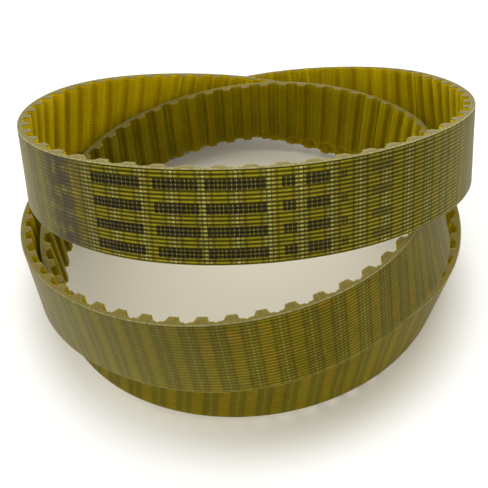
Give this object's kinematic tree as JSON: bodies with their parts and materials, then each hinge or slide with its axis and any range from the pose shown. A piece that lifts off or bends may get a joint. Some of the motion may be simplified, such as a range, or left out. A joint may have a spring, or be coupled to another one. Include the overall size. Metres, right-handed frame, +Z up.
{
  "type": "timing belt",
  "caption": "Endless timing belt of translucent polyurethane with trapezoidal teeth inside and embedded steel tension cords, lying wound up in a loose coil.",
  "frame": {"origin": "centre of the bottom of the whole coil, on the surface it lies on", "axes": "+Z up, +Y away from the side where the printed top loop faces, +X to that side's right"},
  "size_m": [0.0954, 0.1048, 0.0563],
  "materials": {
    "polyurethane": "translucent olive-yellow cast polyurethane, satin",
    "cord_steel": "fine stranded steel cords, dull"
  },
  "bodies": {
    "span_01": {"belt_span_01": "polyurethane", "cord_pack_01": "cord_steel"},
    "span_02": {"belt_span_02": "polyurethane", "cord_pack_02": "cord_steel"},
    "span_03": {"belt_span_03": "polyurethane", "cord_pack_03": "cord_steel"},
    "span_04": {"belt_span_04": "polyurethane", "cord_pack_04": "cord_steel"},
    "span_05": {"belt_span_05": "polyurethane", "cord_pack_05": "cord_steel"},
    "span_06": {"belt_span_06": "polyurethane", "cord_pack_06": "cord_steel"},
    "span_07": {"belt_span_07": "polyurethane", "cord_pack_07": "cord_steel"},
    "span_08": {"belt_span_08": "polyurethane", "cord_pack_08": "cord_steel"},
    "span_09": {"belt_span_09": "polyurethane", "cord_pack_09": "cord_steel"},
    "span_10": {"belt_span_10": "polyurethane", "cord_pack_10": "cord_steel"},
    "span_11": {"belt_span_11": "polyurethane", "cord_pack_11": "cord_steel"},
    "span_12": {"belt_span_12": "polyurethane", "cord_pack_12": "cord_steel"},
    "span_13": {"belt_span_13": "polyurethane", "cord_pack_13": "cord_steel"},
    "span_14": {"belt_span_14": "polyurethane", "cord_pack_14": "cord_steel"},
    "span_15": {"belt_span_15": "polyurethane", "cord_pack_15": "cord_steel"},
    "span_16": {"belt_span_16": "polyurethane", "cord_pack_16": "cord_steel"},
    "span_17": {"belt_span_17": "polyurethane", "cord_pack_17": "cord_steel"},
    "span_18": {"belt_span_18": "polyurethane", "cord_pack_18": "cord_steel"},
    "span_19": {"belt_span_19": "polyurethane", "cord_pack_19": "cord_steel"},
    "span_20": {"belt_span_20": "polyurethane", "cord_pack_20": "cord_steel"},
    "span_21": {"belt_span_21": "polyurethane", "cord_pack_21": "cord_steel"},
    "span_22": {"belt_span_22": "polyurethane", "cord_pack_22": "cord_steel"},
    "span_23": {"belt_span_23": "polyurethane", "cord_pack_23": "cord_steel"},
    "span_24": {"belt_span_24": "polyurethane", "cord_pack_24": "cord_steel"},
    "span_25": {"belt_span_25": "polyurethane", "cord_pack_25": "cord_steel"},
    "span_26": {"belt_span_26": "polyurethane", "cord_pack_26": "cord_steel"},
    "span_27": {"belt_span_27": "polyurethane", "cord_pack_27": "cord_steel"},
    "span_28": {"belt_span_28": "polyurethane", "cord_pack_28": "cord_steel"}
  },
  "joints": [
    {"name": "flex_15_14", "type": "hinge", "parent": "span_15", "child": "span_14", "pos_m": [0.04414, -0.01277, 0.00801], "axis": [-0.113, 0.0341, -0.993], "range_deg": [-3.78, 3.78], "stiffness_Nm_per_rad": 0.05},
    {"name": "flex_14_13", "type": "hinge", "parent": "span_14", "child": "span_13", "pos_m": [0.02641, -0.03637, 0.00912], "axis": [-0.0789, 0.0012, -0.9969], "range_deg": [-3.25, 3.25], "stiffness_Nm_per_rad": 0.05},
    {"name": "flex_13_12", "type": "hinge", "parent": "span_13", "child": "span_12", "pos_m": [-0.00129, -0.04659, 0.01117], "axis": [-0.0601, -0.0607, -0.9963], "range_deg": [-2.21, 2.21], "stiffness_Nm_per_rad": 0.05},
    {"name": "flex_12_11", "type": "hinge", "parent": "span_12", "child": "span_11", "pos_m": [-0.02908, -0.03741, 0.01217], "axis": [-0.0304, -0.0326, -0.999], "range_deg": [-6, 6], "stiffness_Nm_per_rad": 0.05},
    {"name": "flex_11_10", "type": "hinge", "parent": "span_11", "child": "span_10", "pos_m": [-0.04248, -0.00634, 0.01251], "axis": [0.0188, 0.0272, -0.9995], "range_deg": [-1.73, 1.73], "stiffness_Nm_per_rad": 0.05},
    {"name": "flex_10_09", "type": "hinge", "parent": "span_10", "child": "span_09", "pos_m": [-0.03189, 0.02114, 0.01282], "axis": [0.0064, -0.0165, -0.9998], "range_deg": [-4.48, 4.48], "stiffness_Nm_per_rad": 0.05},
    {"name": "flex_09_08", "type": "hinge", "parent": "span_09", "child": "span_08", "pos_m": [-0.00768, 0.03822, 0.01296], "axis": [0.0552, -0.0769, -0.9955], "range_deg": [-0.06, 0.06], "stiffness_Nm_per_rad": 0.05},
    {"name": "flex_08_07", "type": "hinge", "parent": "span_08", "child": "span_07", "pos_m": [0.02134, 0.03638, 0.01482], "axis": [0.019, -0.1934, -0.9809], "range_deg": [-5.38, 5.38], "stiffness_Nm_per_rad": 0.05},
    {"name": "flex_07_06", "type": "hinge", "parent": "span_07", "child": "span_06", "pos_m": [0.03868, 0.0136, 0.02038], "axis": [-0.0447, -0.2694, -0.962], "range_deg": [-0.474, 0.474], "stiffness_Nm_per_rad": 0.05},
    {"name": "flex_06_05", "type": "hinge", "parent": "span_06", "child": "span_05", "pos_m": [0.03846, -0.01525, 0.0274], "axis": [0.3439, -0.2527, -0.9043], "range_deg": [-3.03, 3.03], "stiffness_Nm_per_rad": 0.05},
    {"name": "flex_05_04", "type": "hinge", "parent": "span_05", "child": "span_04", "pos_m": [0.02371, -0.04069, 0.02977], "axis": [0.1533, -0.1452, -0.9775], "range_deg": [-3.34, 3.34], "stiffness_Nm_per_rad": 0.05},
    {"name": "flex_04_03", "type": "hinge", "parent": "span_04", "child": "span_03", "pos_m": [-0.00853, -0.05044, 0.0259], "axis": [0.1613, -0.1266, -0.9788], "range_deg": [-3.44, 3.44], "stiffness_Nm_per_rad": 0.05},
    {"name": "flex_03_02", "type": "hinge", "parent": "span_03", "child": "span_02", "pos_m": [-0.03397, -0.03683, 0.01972], "axis": [0.1637, -0.1545, -0.9743], "range_deg": [-3.7, 3.7], "stiffness_Nm_per_rad": 0.05},
    {"name": "flex_02_01", "type": "hinge", "parent": "span_02", "child": "span_01", "pos_m": [-0.0461, -0.01073, 0.01334], "axis": [0.101, -0.1803, -0.9784], "range_deg": [-1.31, 1.31], "stiffness_Nm_per_rad": 0.05},
    {"name": "flex_15_16", "type": "hinge", "parent": "span_15", "child": "span_16", "pos_m": [0.0439, 0.01665, 0.00834], "axis": [-0.0183, -0.019, 0.9997], "range_deg": [-2.36, 2.36], "stiffness_Nm_per_rad": 0.05},
    {"name": "flex_16_17", "type": "hinge", "parent": "span_16", "child": "span_17", "pos_m": [0.02521, 0.03935, 0.00865], "axis": [0.1216, 0.1363, 0.9832], "range_deg": [-5.06, 5.06], "stiffness_Nm_per_rad": 0.05},
    {"name": "flex_17_18", "type": "hinge", "parent": "span_17", "child": "span_18", "pos_m": [-0.00337, 0.04369, 0.01293], "axis": [0.1876, 0.2633, 0.9463], "range_deg": [-0.425, 0.425], "stiffness_Nm_per_rad": 0.05},
    {"name": "flex_18_19", "type": "hinge", "parent": "span_18", "child": "span_19", "pos_m": [-0.03169, 0.02661, 0.02296], "axis": [0.1532, 0.2778, 0.9484], "range_deg": [-4.69, 4.69], "stiffness_Nm_per_rad": 0.05},
    {"name": "flex_19_20", "type": "hinge", "parent": "span_19", "child": "span_20", "pos_m": [-0.04386, 0.00153, 0.03269], "axis": [0.0677, 0.3224, 0.9442], "range_deg": [-4.22, 4.22], "stiffness_Nm_per_rad": 0.05},
    {"name": "flex_20_21", "type": "hinge", "parent": "span_20", "child": "span_21", "pos_m": [-0.03651, -0.02532, 0.04192], "axis": [-0.0553, 0.3029, 0.9514], "range_deg": [-4.32, 4.32], "stiffness_Nm_per_rad": 0.05},
    {"name": "flex_21_22", "type": "hinge", "parent": "span_21", "child": "span_22", "pos_m": [-0.01154, -0.03945, 0.04786], "axis": [-0.0332, 0.3747, 0.9266], "range_deg": [-4.07, 4.07], "stiffness_Nm_per_rad": 0.05},
    {"name": "flex_22_23", "type": "hinge", "parent": "span_22", "child": "span_23", "pos_m": [0.01773, -0.03577, 0.048], "axis": [-0.0642, 0.3552, 0.9326], "range_deg": [-1.69, 1.69], "stiffness_Nm_per_rad": 0.05},
    {"name": "flex_23_24", "type": "hinge", "parent": "span_23", "child": "span_24", "pos_m": [0.03956, -0.01673, 0.04225], "axis": [-0.063, 0.3655, 0.9287], "range_deg": [-5.31, 5.31], "stiffness_Nm_per_rad": 0.05},
    {"name": "flex_24_25", "type": "hinge", "parent": "span_24", "child": "span_25", "pos_m": [0.04584, 0.01028, 0.03199], "axis": [-0.1668, 0.3648, 0.916], "range_deg": [-1.89, 1.89], "stiffness_Nm_per_rad": 0.05},
    {"name": "flex_25_26", "type": "hinge", "parent": "span_25", "child": "span_26", "pos_m": [0.03368, 0.03933, 0.01832], "axis": [-0.1144, 0.3913, 0.9131], "range_deg": [-4.07, 4.07], "stiffness_Nm_per_rad": 0.05},
    {"name": "flex_26_27", "type": "hinge", "parent": "span_26", "child": "span_27", "pos_m": [0.00746, 0.04963, 0.0105], "axis": [-0.1458, 0.2723, 0.9511], "range_deg": [-2.43, 2.43], "stiffness_Nm_per_rad": 0.05},
    {"name": "flex_27_28", "type": "hinge", "parent": "span_27", "child": "span_28", "pos_m": [-0.02036, 0.04003, 0.00821], "axis": [-0.1152, 0.1231, 0.9857], "range_deg": [-0.96, 0.96], "stiffness_Nm_per_rad": 0.05}
  ],
  "couplings": [
    {"joint": "flex_15_14", "follows": "flex_12_11", "ratio": -0.62902},
    {"joint": "flex_14_13", "follows": "flex_12_11", "ratio": -0.54177},
    {"joint": "flex_13_12", "follows": "flex_12_11", "ratio": 0.36731},
    {"joint": "flex_11_10", "follows": "flex_12_11", "ratio": -0.28759},
    {"joint": "flex_10_09", "follows": "flex_12_11", "ratio": -0.74682},
    {"joint": "flex_09_08", "follows": "flex_12_11", "ratio": 0.00962},
    {"joint": "flex_08_07", "follows": "flex_12_11", "ratio": 0.89537},
    {"joint": "flex_07_06", "follows": "flex_12_11", "ratio": 0.07856},
    {"joint": "flex_06_05", "follows": "flex_12_11", "ratio": -0.50391},
    {"joint": "flex_05_04", "follows": "flex_12_11", "ratio": -0.55695},
    {"joint": "flex_04_03", "follows": "flex_12_11", "ratio": 0.57202},
    {"joint": "flex_03_02", "follows": "flex_12_11", "ratio": 0.61583},
    {"joint": "flex_02_01", "follows": "flex_12_11", "ratio": -0.21807},
    {"joint": "flex_15_16", "follows": "flex_12_11", "ratio": 0.39219},
    {"joint": "flex_16_17", "follows": "flex_12_11", "ratio": 0.84234},
    {"joint": "flex_17_18", "follows": "flex_12_11", "ratio": -0.07039},
    {"joint": "flex_18_19", "follows": "flex_12_11", "ratio": -0.78059},
    {"joint": "flex_19_20", "follows": "flex_12_11", "ratio": -0.70268},
    {"joint": "flex_20_21", "follows": "flex_12_11", "ratio": 0.71954},
    {"joint": "flex_21_22", "follows": "flex_12_11", "ratio": 0.67713},
    {"joint": "flex_22_23", "follows": "flex_12_11", "ratio": -0.28071},
    {"joint": "flex_23_24", "follows": "flex_12_11", "ratio": -0.88387},
    {"joint": "flex_24_25", "follows": "flex_12_11", "ratio": -0.31367},
    {"joint": "flex_25_26", "follows": "flex_12_11", "ratio": 0.67788},
    {"joint": "flex_26_27", "follows": "flex_12_11", "ratio": 0.40456},
    {"joint": "flex_27_28", "follows": "flex_12_11", "ratio": -0.15943}
  ]
}
